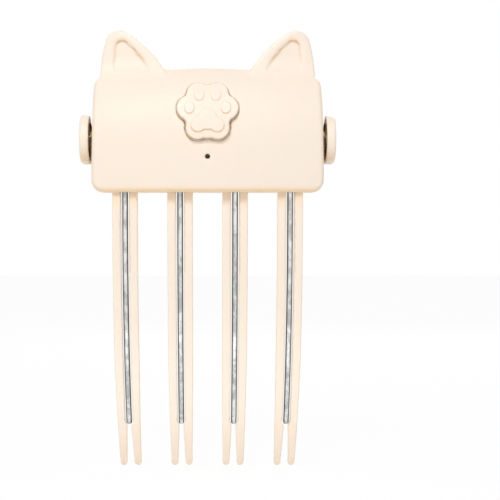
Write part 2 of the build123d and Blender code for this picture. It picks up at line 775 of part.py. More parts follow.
arm_body = arm_slab(-arm_half, arm_half)
corner_x, corner_z = arm_half - bar_corner, bar_low_z + bar_corner
corner_depth = bar_back_y + bar_swell - arm_front_y
corner_cut = block(
    (corner_x, arm_front_y - past, bar_low_z - past),
    (arm_half + past, arm_front_y + corner_depth + past, corner_z),
)
corner_cut -= round_y(corner_x, arm_front_y - past, corner_z, bar_corner, corner_depth + 2 * past)
pocket_low = (-holder_half - holder_gap, 0, holder_low - holder_gap)
pocket_high = (holder_half + holder_gap, arm_front_y + pocket_depth, holder_high + holder_gap)
pocket = block(pocket_low, pocket_high)
holder_front = arm_front_y + holder_sunk
holder_back = holder_front + holder_depth
holder_places = [(-fork_pitch, holder_screw_z), (fork_pitch, holder_screw_z)]
post_length = bar_back_y - holder_back - rod_post_inset
with BuildPart() as rear_arm:
    add(arm_body)
    high_edges = rear_arm.edges().filter_by(lambda e: e.center().Z > lever_top - arm_thick)
    fillet(high_edges.filter_by(lambda e: abs(e.length - arm_thick) < press_gap), lever_corner)
    rims = rear_arm.edges().filter_by(lambda e: e.center().Z > lever_foot[1] + spring_room_r / 2)
    fillet(rims.filter_by(lambda e: e.length > arm_thick + past), arm_round)
    add([corner_cut, mirror(corner_cut, about=Plane.YZ)], mode=Mode.SUBTRACT)
    add([arm_tab.part, mirror(arm_tab.part, about=Plane.YZ)])
    add([lug.part, mirror(lug.part, about=Plane.YZ)])
    for s in sides.values():
        add(round_x(s * lug_in, hinge_y, hinge_z, spring_room_r, s * spring_room_depth), mode=Mode.SUBTRACT)
        add(round_x(s * lug_in, hinge_y, hinge_z, lug_boss_r, s * lug_width))
        add(round_x(s * lug_out, hinge_y, hinge_z, cap_r, -s * cap_thick), mode=Mode.SUBTRACT)
        add(round_x(s * lug_in, hinge_y, hinge_z, pin_r + press_gap, s * lug_width), mode=Mode.SUBTRACT)
        leg_length = lug_leg_end - lug_in + spring_leg_gap / 2
        add(round_x(s * lug_in, lug_turn.Y, lug_turn.Z, spring_hole_r, s * leg_length), mode=Mode.SUBTRACT)
    add(pocket, mode=Mode.SUBTRACT)
    for x, z in holder_places:
        add(round_y(x, holder_back, z, screw_boss_r, post_length))
        add(round_y(x, holder_back, z, screw_r + thread_gap, holder_screw_bite), mode=Mode.SUBTRACT)
rear_arm.part.label = "rear_arm"
export_step(rear_arm.part, "parts/rear_arm.step")

# Rod holder: a heat-proof bar in the arm's pocket, bored for the rods
with BuildPart() as rod_holder:
    add(block((-holder_half, holder_front, holder_low), (holder_half, holder_back, holder_high)))
    chamfer(rod_holder.edges().filter_by(Axis.X).group_by(Axis.Y)[0], holder_break)
    for x in fork_places:
        add(round_y(x, holder_front, rod_z, rod_r + press_gap, holder_depth), mode=Mode.SUBTRACT)
    for x, z in holder_places:
        add(round_y(x, holder_front, z, screw_head_r + screw_gap, screw_head), mode=Mode.SUBTRACT)
        add(round_y(x, holder_front, z, screw_r + screw_gap, holder_depth), mode=Mode.SUBTRACT)
rod_holder.part.label = "rod_holder"
export_step(rod_holder.part, "parts/rod_holder.step")

holder_screw_set = [screw(x, holder_front, z, holder_screw_length, 1) for x, z in holder_places]
with BuildPart() as holder_screws:
    add(holder_screw_set)
holder_screws.part.label = "holder_screws"
export_step(holder_screws.part, "parts/holder_screws.step")

# Power strip: a thin board behind the rods, and the sensor on it
strip_front = rod_back_y + strip_gap
strip_half = holder_half - 1
with BuildPart() as power_strip:
    add(block((-strip_half, strip_front, strip_low), (strip_half, strip_front + strip_thick, strip_high)))
    for x, z in holder_places:
        add(round_y(x, strip_front, z, screw_boss_r + screw_gap, strip_thick), mode=Mode.SUBTRACT)
power_strip.part.label = "power_strip"
export_step(power_strip.part, "parts/power_strip.step")

sensor_y = strip_front + strip_thick
with BuildPart() as thermal_sensor:
    sensor_low = (-sensor_half, sensor_y, rod_z - sensor_half)
    add(block(sensor_low, (sensor_half, sensor_y + sensor_tall, rod_z + sensor_half)))
    fillet(thermal_sensor.edges().group_by(Axis.Y)[-1], sensor_round)
thermal_sensor.part.label = "thermal_sensor"
export_step(thermal_sensor.part, "parts/thermal_sensor.step")

# Hinge pieces at each end
pin_in = hinge_boss_in - clip_thick - 2 * clip_room - pin_nose
pin_out = lug_out - cap_thick - cap_gap
clip_in = hinge_boss_in - clip_room - clip_thick
mouth_low = (clip_in, hinge_y - clip_mouth / 2, hinge_z)
clip_mouth_block = block(mouth_low, (clip_in + clip_thick, hinge_y + clip_mouth / 2, hinge_z + lug_r))
clip_pair = []
for side, s in sides.items():
    with BuildPart() as hinge_pin:
        add(round_x(s * pin_in, hinge_y, hinge_z, pin_r, s * (pin_out - pin_in)))
        chamfer(hinge_pin.edges().filter_by(GeomType.CIRCLE), pin_break)
        groove_in = s * (clip_in - clip_room / 2)
        groove = s * (clip_thick + clip_room)
        ring = round_x(groove_in, hinge_y, hinge_z, pin_r + past, groove)
        ring -= round_x(groove_in, hinge_y, hinge_z, groove_r, groove)
        add(ring, mode=Mode.SUBTRACT)
    hinge_pin.part.label = f"hinge_pin_{side}"
    export_step(hinge_pin.part, f"parts/hinge_pin_{side}.step")

    with BuildPart() as hinge_cap:
        add(round_x(s * (lug_out - cap_thick), hinge_y, hinge_z, cap_r - cap_gap, s * cap_thick))
        rim = hinge_cap.edges().filter_by(GeomType.CIRCLE).sort_by(Axis.X)[0 if s < 0 else -1]
        fillet(rim, cap_round)
    hinge_cap.part.label = f"hinge_cap_{side}"
    export_step(hinge_cap.part, f"parts/hinge_cap_{side}.step")

    with BuildPart() as hinge_washer:
        add(round_x(s * (hinge_face + running_gap), hinge_y, hinge_z, lug_boss_r, s * washer_thick))
        washer_hole = round_x(s * hinge_face, hinge_y, hinge_z, pin_r + 2 * running_gap, s * lug_gap)
        add(washer_hole, mode=Mode.SUBTRACT)
    hinge_washer.part.label = f"hinge_washer_{side}"
    export_step(hinge_washer.part, f"parts/hinge_washer_{side}.step")

    ring = round_x(s * clip_in, hinge_y, hinge_z, clip_r, s * clip_thick)
    bore = round_x(s * clip_in, hinge_y, hinge_z, groove_r + press_gap, s * clip_thick)
    mouth = clip_mouth_block if s > 0 else mirror(clip_mouth_block, about=Plane.YZ)
    clip_pair.append(ring - bore - mouth)
    spring_pair[side].label = f"torsion_spring_{side}"
    export_step(spring_pair[side], f"parts/torsion_spring_{side}.step")

with BuildPart() as retaining_clips:
    add(clip_pair)
retaining_clips.part.label = "retaining_clips"
export_step(retaining_clips.part, "parts/retaining_clips.step")



# How far back the housing's front lies anywhere, pushed out by outset
def skin_y(x, z, outset):
    return face_y(z, outset) + x**2 / (2 * plan_radius)


# Paw button: a hollow cap with raised pads, a lip behind the hole and a stem
paw_solid = paw_slab(0, notch_round, paw_depth) & front_form(button_stands)
lip_form = front_form(-wall - flange_gap)
back_form = front_form(-wall - flange_gap - flange_thick)
lip = (paw_slab(flange_lip, notch_round - flange_lip, paw_depth) & lip_form) - back_form
room = paw_slab(-button_wall, 0, paw_depth) & front_form(button_stands - button_wall)
pad_form = front_form(button_stands + pad_height)
with BuildPart() as pad_block:
    with BuildSketch(facing(far_front)) as heel_pad:
        with Locations((heel_side[0], button_z + heel_side[1]), (-heel_side[0], button_z + heel_side[1])):
            Circle(heel_side[2])
        with Locations((heel_top[0], button_z + heel_top[1])):
            Circle(heel_top[2])
        with Locations((0, button_z + heel_side[1])):
            Rectangle(2 * heel_side[0], 2 * heel_bridge)
        fillet(heel_pad.vertices(), heel_dip)
        for x, z in (toe_top, toe_side):
            with Locations((x, button_z + z), (-x, button_z + z)):
                Ellipse(*toe_half)
    extrude(amount=far_front - face_y(button_z, 0))
pads = (pad_block.part & pad_form) - front_form(button_stands - pad_height)
stem_front = face_y(button_z, button_stands - button_wall / 2)
stem_back = board_front_y - switch_body - switch_stands
with BuildPart() as paw_button:
    add(paw_solid)
    add(back_form, mode=Mode.SUBTRACT)
    front_rim = paw_button.edges().filter_by(lambda e: abs(e.tangent_at(0.5).Y) < 0.7)
    middles = [(e, e.center()) for e in front_rim]
    fillet([e for e, at in middles if at.Y < skin_y(at.X, at.Z, button_stands / 2)], button_round)
    add(room, mode=Mode.SUBTRACT)
    add(lip)
    add(room, mode=Mode.SUBTRACT)
    add(pads)
    add(round_y(0, stem_front, button_z, stem_r, stem_back - stem_front))
paw_button.part.label = "paw_button"
export_step(paw_button.part, "parts/paw_button.step")

# Power switch on the board, and the plunger that the button's stem pushes
switch_front = board_front_y - switch_body
with BuildPart() as power_switch:
    half = switch_size / 2
    add(block((-half, switch_front, button_z - half), (half, board_front_y, button_z + half)))
    plunger_room = plunger_sunk + button_travel + plunger_gap
    add(round_y(0, switch_front, button_z, plunger_r + plunger_gap, plunger_room), mode=Mode.SUBTRACT)
power_switch.part.label = "power_switch"
export_step(power_switch.part, "parts/power_switch.step")

with BuildPart() as switch_plunger:
    add(round_y(0, stem_back, button_z, plunger_r, switch_stands + plunger_sunk))
    chamfer(switch_plunger.edges().filter_by(GeomType.CIRCLE).sort_by(Axis.Y)[0], pin_break)
switch_plunger.part.label = "switch_plunger"
export_step(switch_plunger.part, "parts/switch_plunger.step")

# Indicator: a lens pressed in the front from inside, and a lamp on two bent leads
lens_front = face_y(led_z, 0) + lens_sunk
lens_seat = face_y(led_z, -wall) + lens_gap
with BuildPart() as indicator_lens:
    add(round_y(0, lens_front, led_z, led_hole_r - lens_gap, lens_seat + lens_flange - lens_front))
    add(round_y(0, lens_seat + lens_slope, led_z, lens_head_r, lens_flange - lens_slope))
    fillet(indicator_lens.edges().filter_by(GeomType.CIRCLE).sort_by(Axis.Y)[0], lens_dome)
indicator_lens.part.label = "indicator_lens"
export_step(indicator_lens.part, "parts/indicator_lens.step")

led_front = lens_seat + lens_flange + lens_gap
led_back = led_front + led_length
with BuildPart() as indicator_led:
    add(round_y(0, led_front, led_z, led_r, led_length))
    fillet(indicator_led.edges().filter_by(GeomType.CIRCLE).sort_by(Axis.Y)[0], led_r / 2)
    lead_low, lead_high = led_z - led_lead / 2, led_z + led_lead / 2
    for s in sides.values():
        low_x, high_x = s * led_lead_x - led_lead / 2, s * led_lead_x + led_lead / 2
        add(block((low_x, led_back, lead_low), (high_x, led_lead_y, lead_high)))
        add(block((low_x, led_lead_y - led_lead, lead_low), (high_x, led_lead_y, led_lead_z)))
        add(block((low_x, led_lead_y - led_lead, led_lead_z - led_lead), (high_x, board_front_y, led_lead_z)))
indicator_led.part.label = "indicator_led"
export_step(indicator_led.part, "parts/indicator_led.step")

# Circuit board with its small parts and screws
with BuildPart() as circuit_board:
    add(block((-board_half, board_front_y, board_low), (board_half, board_back_y, board_high)))
    board_edge = (-board_tongue_half, board_front_y, board_high - past)
    add(block(board_edge, (board_tongue_half, board_back_y, board_tongue_high)))
    corners = circuit_board.edges().filter_by(Axis.Y)
    fillet(corners.filter_by(lambda e: abs(e.center().X) > board_half - past), board_corner)
    for x, z in board_places:
        add(round_y(x, board_front_y, z, screw_r + screw_gap, board_thick), mode=Mode.SUBTRACT)
circuit_board.part.label = "circuit_board"
export_step(circuit_board.part, "parts/circuit_board.step")

board_head_y = board_back_y + screw_head
board_screw_run = board_screw_length + screw_head
board_screw_set = [screw(x, board_head_y, z, board_screw_run, -1) for x, z in board_places]
with BuildPart() as board_screws:
    add(board_screw_set)
board_screws.part.label = "board_screws"
export_step(board_screws.part, "parts/board_screws.step")

with BuildPart() as board_components:
    for x, z, width, height, tall in (controller, coil_choke, left_driver, right_driver):
        chip_low = (x - width / 2, board_front_y - tall, z - height / 2)
        add(block(chip_low, (x + width / 2, board_front_y, z + height / 2)))
    for i in range(capacitor_count):
        x = capacitor_x + i * capacitor_pitch
        low = (x - capacitor_half, board_front_y - 2 * capacitor_half, capacitor_z - 2 * capacitor_half)
        add(block(low, (x + capacitor_half, board_front_y, capacitor_z + 2 * capacitor_half)))
board_components.part.label = "board_components"
export_step(board_components.part, "parts/board_components.step")

# Flat cell behind the board, its foam pad and its two leads
cell_front = board_back_y + pad_thick
with BuildPart() as battery_cell:
    add(block((-cell_half, cell_front, cell_low), (cell_half, cell_front + cell_thick, cell_high)))
    fillet(battery_cell.edges().filter_by(Axis.Z), cell_round)
battery_cell.part.label = "battery_cell"
export_step(battery_cell.part, "parts/battery_cell.step")

with BuildPart() as battery_pad:
    pad_x, pad_z = cell_half - pad_inset, (cell_low + pad_inset, cell_high - pad_inset)
    add(block((-pad_x, board_back_y, pad_z[0]), (pad_x, cell_front, pad_z[1])))
battery_pad.part.label = "battery_pad"
export_step(battery_pad.part, "parts/battery_pad.step")

cell_middle = cell_front + cell_thick / 2
leads = []
for x in lead_places:
    with BuildPart() as lead:
        with BuildLine(across(x)):
            lead_turns = (cell_middle, cell_high), (cell_middle, lead_z), (board_back_y, lead_z)
            FilletPolyline(*lead_turns, radius=lead_bend)
        with BuildSketch(Plane(origin=(x, cell_middle, cell_high), z_dir=(0, 0, 1))):
            Circle(lead_r)
        sweep()
    leads.append(lead.part)
with BuildPart() as battery_leads:
    add(leads)
battery_leads.part.label = "battery_leads"
export_step(battery_leads.part, "parts/battery_leads.step")

# Charging socket: a rolled shell with a tongue, its mouth in the housing's top
usb_low = usb_top - usb_length
with BuildPart() as usb_c_socket:
    with BuildSketch(Plane.XY.offset(usb_low)):
        with Locations((0, usb_y)):
            RectangleRounded(usb_width, usb_height, usb_round)
    extrude(amount=usb_length)
    with BuildSketch(Plane.XY.offset(usb_low + usb_floor)):
        with Locations((0, usb_y)):
            RectangleRounded(usb_width - 2 * usb_wall, usb_height - 2 * usb_wall, usb_round - usb_wall)
    extrude(amount=usb_length, mode=Mode.SUBTRACT)
    tongue_low = (-tongue_half, usb_y - tongue_thick / 2, usb_low)
    add(block(tongue_low, (tongue_half, usb_y + tongue_thick / 2, usb_top - tongue_sunk)))
usb_c_socket.part.label = "usb_c_socket"
export_step(usb_c_socket.part, "parts/usb_c_socket.step")

# Screws that clamp the comb's bar to the housing's posts
comb_screw_set = [screw(x, bar_back, z, comb_screw_length, -1) for x, z in comb_places]
with BuildPart() as comb_screws:
    add(comb_screw_set)
comb_screws.part.label = "comb_screws"
export_step(comb_screws.part, "parts/comb_screws.step")

# The springs' own clearance, measured on points along one coil
steps = 48
coil = [coil_point(i / steps) for i in range(spring_turns * steps + 1)]
gaps = [(a - b).length - spring_wire for i, a in enumerate(coil) for b in coil[i + steps // 2 :]]
print(f"torsion springs: least gap between turns {min(gaps):.2f} mm")
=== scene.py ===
import math

import bmesh
import bpy
import numpy as np
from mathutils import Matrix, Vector
from mathutils.bvhtree import BVHTree
from mathutils.kdtree import KDTree


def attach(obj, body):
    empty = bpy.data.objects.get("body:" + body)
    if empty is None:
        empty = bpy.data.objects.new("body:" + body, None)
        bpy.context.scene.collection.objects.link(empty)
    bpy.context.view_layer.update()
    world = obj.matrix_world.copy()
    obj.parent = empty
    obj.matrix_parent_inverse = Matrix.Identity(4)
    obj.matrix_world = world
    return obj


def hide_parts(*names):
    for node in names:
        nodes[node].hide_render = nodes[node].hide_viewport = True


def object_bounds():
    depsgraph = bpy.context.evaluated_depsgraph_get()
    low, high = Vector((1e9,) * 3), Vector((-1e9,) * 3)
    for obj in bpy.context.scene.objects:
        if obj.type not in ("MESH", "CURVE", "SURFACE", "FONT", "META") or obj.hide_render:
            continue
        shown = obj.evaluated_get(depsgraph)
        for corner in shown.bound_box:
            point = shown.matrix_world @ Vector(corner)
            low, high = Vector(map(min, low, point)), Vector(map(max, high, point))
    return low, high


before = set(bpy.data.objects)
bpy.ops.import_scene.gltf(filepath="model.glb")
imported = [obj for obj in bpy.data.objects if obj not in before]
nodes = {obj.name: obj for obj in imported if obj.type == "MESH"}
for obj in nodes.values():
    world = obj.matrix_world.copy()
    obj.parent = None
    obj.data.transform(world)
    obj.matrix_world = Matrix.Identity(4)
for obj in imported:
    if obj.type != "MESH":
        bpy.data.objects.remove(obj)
cad_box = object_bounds()

MM = 0.001
MIDDLE = (0.0, 0.0, 0.0)
WHITE = (1.0, 1.0, 1.0)


# Camera, at the photograph's place: level, square to the front, a little below the body.

CAMERA_PLACE = (0.0, -0.489, -0.02075)
FOCAL_LENGTH = 97.3
SENSOR_WIDTH = 36.0
FRAME_SHIFT_X = 0.0848
NEAREST_SEEN = 0.02
FURTHEST_SEEN = 20.0

lens = bpy.data.cameras.new("front_view")
lens.lens = FOCAL_LENGTH
lens.sensor_width = SENSOR_WIDTH
lens.shift_x = FRAME_SHIFT_X
lens.clip_start = NEAREST_SEEN
lens.clip_end = FURTHEST_SEEN
camera = bpy.data.objects.new("front_view", lens)
camera.location = CAMERA_PLACE
camera.rotation_euler = (math.radians(90.0), 0.0, 0.0)
bpy.context.scene.collection.objects.link(camera)
bpy.context.scene.camera = camera
bpy.context.scene.view_settings.view_transform = "Standard"


# Shader maths: a socket that takes part in Python sums, and one way to make a node.


class Signal:
    """The output socket of a node, used in sums."""

    def __init__(self, maker, socket):
        self.maker, self.socket = maker, socket

    def _sum(self, operation, *terms):
        return self.maker.node("ShaderNodeMath", {"operation": operation}, dict(enumerate(terms)))

    def __add__(self, other):
        return self._sum("ADD", self, other)

    def __sub__(self, other):
        return self._sum("SUBTRACT", self, other)

    def __mul__(self, other):
        return self._sum("MULTIPLY", self, other)

    def __abs__(self):
        return self._sum("ABSOLUTE", self)

    def clipped(self):
        return self._sum("MAXIMUM", self._sum("MINIMUM", self, 1.0), 0.0)

    __radd__ = __add__
    __rmul__ = __mul__


class Maker:
    """A node tree and the one method that fills it."""

    def __init__(self, tree):
        self.tree = tree

    def node(self, kind, settings=None, inputs=None, output=0):
        made = self.tree.nodes.new(kind)
        for name, value in (settings or {}).items():
            setattr(made, name, value)
        for name, value in (inputs or {}).items():
            self.plug(self.find(made.inputs, name), value)
        return Signal(self, self.find(made.outputs, output))

    def plug(self, socket, value):
        """A socket takes a signal as a link, and anything else as its fixed value."""
        if isinstance(value, Signal):
            self.tree.links.new(value.socket, socket)
        elif socket.type == "RGBA":
            socket.default_value = (*value, 1.0)
        else:
            socket.default_value = value

    @staticmethod
    def find(sockets, name):
        """The socket with this number, identifier or name."""
        if isinstance(name, int):
            return sockets[name]
        for socket in sockets:
            if socket.identifier == name:
                return socket
        return sockets[name]

    def mix(self, factor, low, high):
        return self.node(
            "ShaderNodeMix",
            {"data_type": "RGBA"},
            {"Factor_Float": factor, "A_Color": low, "B_Color": high},
            "Result_Color",
        )

    def place(self, output="Object"):
        return self.node("ShaderNodeTexCoord", output=output)

    def part(self, vector, axis):
        return self.node("ShaderNodeSeparateXYZ", {}, {0: vector}, axis)

    def noise(self, scale, detail=2.0, roughness=0.5, stretch=(1.0, 1.0, 1.0), seed=0.0):
        shift = (seed, seed * 0.7, seed * 1.3)
        spot = self.node(
            "ShaderNodeMapping",
            {},
            {"Vector": self.place(), "Location": shift, "Scale": stretch},
        )
        return self.node(
            "ShaderNodeTexNoise",
            {"noise_dimensions": "3D"},
            {"Vector": spot, "Scale": scale, "Detail": detail, "Roughness": roughness},
            "Fac",
        )

    def ramp(self, signal, low, high):
        """0 at low, 1 at high and an eased rise between them; low may be the greater one."""
        return self.node(
            "ShaderNodeMapRange",
            {"interpolation_type": "SMOOTHSTEP"},
            {"Value": signal, "From Min": low, "From Max": high},
        )

    def bump(self, height, distance, strength, normal=None):
        inputs = {"Height": height, "Distance": distance, "Strength": strength}
        if normal is not None:
            inputs["Normal"] = normal
        return self.node("ShaderNodeBump", {}, inputs)

    def seen(self):
        """1 on rays that show the surround, straight, mirrored or through glass; 0 on others."""
        camera_ray, glossy_ray, clear_ray = (
            self.node("ShaderNodeLightPath", output=kind)
            for kind in ("Is Camera Ray", "Is Glossy Ray", "Is Transmission Ray")
        )
        return (camera_ray + glossy_ray + clear_ray).clipped()


class Finish(Maker):
    """A material with one Principled shader, whose fixed sockets are set at once."""

    def __init__(self, name, **fixed):
        self.material = bpy.data.materials.new(name)
        self.material.use_nodes = True
        super().__init__(self.material.node_tree)
        self.shader = self.tree.nodes["Principled BSDF"]
        self.feed({key.replace("_", " "): value for key, value in fixed.items()})

    def feed(self, inputs):
        for name, value in inputs.items():
            self.plug(self.shader.inputs[name], value)


CREAM = (0.955, 0.826, 0.705)
CREAM_PALER = (0.958, 0.838, 0.727)
CREAM_DEEPER = (0.948, 0.810, 0.683)
# A painted highlight tone, for crests that face up.
CREST_PAINTED_HIGHLIGHT = (0.965, 0.875, 0.785)
# A painted shade tone, for flanks, undersides and the forks' roots and tips.
PAINTED_SHADE_TAN = (0.94, 0.71, 0.47)
# A painted shade tone, for folds that face down.
FOLD_PAINTED_SHADE = (0.70, 0.45, 0.24)


def cream_plastic():
    """Satin moulded plastic: a pale cream drifting in tone, with painted shade in tan and brown,
    painted highlights on crests, and a fine spark-eroded grain.
    """
    f = Finish("cream_plastic", Subsurface_Weight=0.22, Subsurface_Scale=1.4 * MM, IOR=1.46)
    f.feed({"Subsurface Radius": (1.0, 0.72, 0.5)})
    drift = f.ramp(f.noise(26.0), 0.3, 0.7)
    cloud = f.ramp(f.noise(95.0, 3.0, 0.6, seed=3.1), 0.35, 0.7)
    tone = f.mix(drift, CREAM, CREAM_PALER)
    tone = f.mix(cloud * 0.35, tone, CREAM_DEEPER)

    # Painted shade: brown in the folds that face down, such as the ears' hollows and the paw's
    # outline.
    fold = f.node("ShaderNodeAttribute", {"attribute_name": "fold"}, {}, "Fac")
    facing = f.place("Normal")
    nx, nz = abs(f.part(facing, "X")), f.part(facing, "Z")
    turned_down = f.ramp(nz, 0.35, -0.45)
    tone = f.mix(f.ramp(fold, 0.10, 0.8) * turned_down * 0.95, tone, FOLD_PAINTED_SHADE)

    # Painted shade in tan on rounded flanks, under the body and towards the forks' tips, and a
    # painted shadow at the forks' roots.
    high = f.part(f.place(), "Z")
    flank = f.ramp(nx, 0.45, 0.85) * f.ramp(nx, 0.97, 0.88) * 0.45
    faces_down = f.ramp(nz, -0.30, -0.80) * f.ramp(nz, -0.98, -0.90)
    under = faces_down * f.ramp(high, -12.0 * MM, -1.0 * MM) * 0.6
    root = f.ramp(high, -7.0 * MM, -1.0 * MM) * f.ramp(high, 3.0 * MM, 0.6 * MM) * 0.5
    tips = f.ramp(high, -80.0 * MM, -105.0 * MM) * 0.12
    tone = f.mix((flank + under + root + tips).clipped(), tone, PAINTED_SHADE_TAN)

    # Painted highlight: paler on crests that face up, which are also a little smoother.
    crest = f.ramp(fold, -0.15, -0.8) * f.ramp(nz, -0.2, 0.4)
    tone = f.mix(crest * 0.5, tone, CREST_PAINTED_HIGHLIGHT)

    grain = f.noise(2600.0, roughness=0.6, seed=1.7)
    ripple = f.noise(420.0, seed=5.3)
    soft = f.bump(ripple, 0.05 * MM, 0.25)
    f.feed(
        {
            "Base Color": tone,
            "Roughness": 0.40 + 0.10 * cloud + 0.06 * grain - 0.06 * crest,
            "Normal": f.bump(grain, 0.012 * MM, 0.5, soft),
        }
    )
    return f.material


STEEL_PALE = (0.86, 0.87, 0.87)
STEEL_MID = (0.50, 0.51, 0.51)
STEEL_DULL = (0.34, 0.34, 0.34)
# The darkest tone is a painted dark reflection on the tube's flanks.
STEEL_PAINTED_DARK_REFLECTION = (0.115, 0.117, 0.120)
ALONG_THE_TUBE = (1.0, 1.0, 0.12)
PARTLY_ALONG = (1.0, 1.0, 0.5)


def rod_steel():
    """Drawn stainless tube: pale in front and behind, with a painted dark reflection along its
    flanks.
    """
    f = Finish("rod_steel", Metallic=1.0, Anisotropic=0.4)
    flank = abs(f.part(f.place("Normal"), "X"))
    streak = f.noise(900.0, 3.0, 0.65, ALONG_THE_TUBE, 2.2)
    mottle = f.noise(330.0, 4.0, 0.7, PARTLY_ALONG, 4.4)
    # Painted dark reflection along the flanks, where the tube's sides turn away.
    edge = f.ramp(flank + 0.25 * (mottle - 0.5), 0.48, 0.82)
    face = f.mix(f.ramp(mottle, 0.4, 0.62), STEEL_MID, STEEL_PALE)
    face = f.mix(f.ramp(streak, 0.55, 0.75) * 0.5, face, STEEL_DULL)
    f.feed(
        {
            "Base Color": f.mix(edge * 0.92, face, STEEL_PAINTED_DARK_REFLECTION),
            "Roughness": 0.24 + 0.18 * streak + 0.10 * edge,
            "Normal": f.bump(streak, 0.02 * MM, 0.5),
        }
    )
    return f.material


def plated(name, low, high, rough, scale=700.0, metal=1.0, depth=0.02 * MM):
    """A small metal or moulded part: two tones in clouds, a fine tooth, and a matching roughness."""
    f = Finish(name, Metallic=metal)
    cloud = f.noise(scale, 3.0, 0.6, seed=len(name) * 0.37)
    tooth = f.noise(scale * 5.0, roughness=0.6, seed=len(name) * 0.81)
    f.feed(
        {
            "Base Color": f.mix(f.ramp(cloud, 0.32, 0.68), low, high),
            "Roughness": rough + 0.16 * (cloud - 0.5) + 0.10 * (tooth - 0.5),
            "Normal": f.bump(tooth, depth, 0.5),
        }
    )
    return f.material


MASK_DARK = (0.012, 0.125, 0.055)
MASK_LIGHT = (0.02, 0.17, 0.08)
MASK_OVER_COPPER = (0.06, 0.30, 0.13)
ALONG_Z = (1.0, 1.0, 0.05)
ALONG_X = (0.05, 1.0, 1.0)


def circuit_board():
    """Green solder mask, paler where copper tracks lie below it."""
    f = Finish("circuit_board", Coat_Weight=0.3, Coat_Roughness=0.2)
    lane = f.noise(600.0, detail=0.0, stretch=ALONG_Z)
    rail = f.noise(520.0, detail=0.0, stretch=ALONG_X, seed=7.0)
    track = f.ramp(lane, 0.54, 0.56) * f.ramp(rail, 0.44, 0.46)
    mask = f.mix(f.noise(300.0, 3.0), MASK_DARK, MASK_LIGHT)
    f.feed(
        {
            "Base Color": f.mix(track, mask, MASK_OVER_COPPER),
            "Roughness": 0.34 + 0.10 * f.noise(1500.0),
            "Normal": f.bump(track, 0.04 * MM, 0.6),
        }
    )
    return f.material


# Each plated finish: its darker tone, its lighter tone, its roughness and what sets it apart.

small_finishes = {
    "screw_steel": ((0.42, 0.42, 0.43), (0.66, 0.66, 0.68), 0.30, {}),
    "spring_steel": ((0.10, 0.075, 0.045), (0.34, 0.25, 0.13), 0.34, {"scale": 900.0}),
    "brass_washer": ((0.45, 0.30, 0.10), (0.78, 0.58, 0.26), 0.28, {}),
    "heater_core": ((0.20, 0.19, 0.18), (0.36, 0.35, 0.34), 0.45, {}),
    "dark_holder": ((0.012, 0.012, 0.013), (0.028, 0.028, 0.030), 0.5, {"metal": 0.0}),
    "chip_black": ((0.010, 0.010, 0.011), (0.030, 0.030, 0.032), 0.42, {"metal": 0.0}),
    "smoked_lens": ((0.003, 0.003, 0.003), (0.008, 0.008, 0.008), 0.16, {"metal": 0.0}),
    "clear_lamp": ((0.72, 0.75, 0.77), (0.86, 0.88, 0.90), 0.12, {"metal": 0.0}),
    "cell_foil": ((0.52, 0.53, 0.55), (0.78, 0.79, 0.81), 0.28, {"scale": 120.0}),
    "foam": (
        (0.02, 0.02, 0.02),
        (0.07, 0.07, 0.07),
        0.85,
        {"scale": 1500.0, "metal": 0.0, "depth": 0.1 * MM},
    ),
    "lead_skin": ((0.30, 0.02, 0.015), (0.42, 0.035, 0.03), 0.38, {"metal": 0.0}),
    "socket_steel": ((0.55, 0.55, 0.57), (0.76, 0.76, 0.78), 0.26, {}),
}

finishes = {
    "cream_plastic": cream_plastic(),
    "rod_steel": rod_steel(),
    "board": circuit_board(),
}
for finish, (low, high, rough, rest) in small_finishes.items():
    finishes[finish] = plated(finish, low, high, rough, **rest)

# The finish of every node.

carried = {
    "cream_plastic": (
        "front_shell back_cover comb rear_arm paw_button hinge_cap_left hinge_cap_right"
    ),
    "rod_steel": "heating_rod_1 heating_rod_2 heating_rod_3 heating_rod_4",
    "screw_steel": (
        "comb_screws cover_screws board_screws holder_screws hinge_pin_left hinge_pin_right"
        " retaining_clips"
    ),
    "spring_steel": "torsion_spring_left torsion_spring_right",
    "brass_washer": "hinge_washer_left hinge_washer_right",
    "heater_core": "heater_cores",
    "dark_holder": "rod_holder switch_plunger",
    "board": "circuit_board power_strip",
    "chip_black": "board_components power_switch thermal_sensor",
    "smoked_lens": "indicator_lens",
    "clear_lamp": "indicator_led",
    "cell_foil": "battery_cell",
    "foam": "battery_pad",
    "lead_skin": "battery_leads",
    "socket_steel": "usb_c_socket",
}


def dress(piece, finish):
    """Every material slot of the piece takes the finish."""
    if not piece.data.materials:
        piece.data.materials.append(finishes[finish])
    for number in range(len(piece.material_slots)):
        piece.material_slots[number].material = finishes[finish]


for finish, names in carried.items():
    for name in names.split():
        dress(nodes[name], finish)


# Moulded pieces: a fine copy of each, with edges as soft as a mould leaves them.

MERGED_WITHIN = 0.001 * MM
TINY_LENGTH = 1e-12
TINY_SQUARE = 1e-18
TINY_AREA = 1e-24


def blurred(values, edges, passes):
    """Each vertex's values drawn half way to its neighbours' mean, pass by pass."""
    count = np.bincount(edges.ravel(), minlength=len(values)).astype(float)[:, None]
    for _ in range(passes):
        total = np.empty_like(values)
        for axis in range(values.shape[1]):
            column = values[:, axis]
            total[:, axis] = np.bincount(edges[:, 0], column[edges[:, 1]], len(values))
            total[:, axis] += np.bincount(edges[:, 1], column[edges[:, 0]], len(values))
        values = values + 0.5 * (total / count - values)
    return values


def array_of(source, attribute, width, kind=float):
    """What Blender's foreach_get gives, as rows of a numpy array."""
    flat = np.zeros(len(source) * width, kind)
    source.foreach_get(attribute, flat)
    return flat.reshape(-1, width)


def unit(rows):
    return rows / np.maximum(np.linalg.norm(rows, axis=1, keepdims=True), TINY_LENGTH)


def eased(values, low, high):
    """0 up to low, 1 from high on and an eased rise between them."""
    share = np.clip((values - low) / (high - low), 0.0, 1.0)
    return share * share * (3.0 - 2.0 * share)


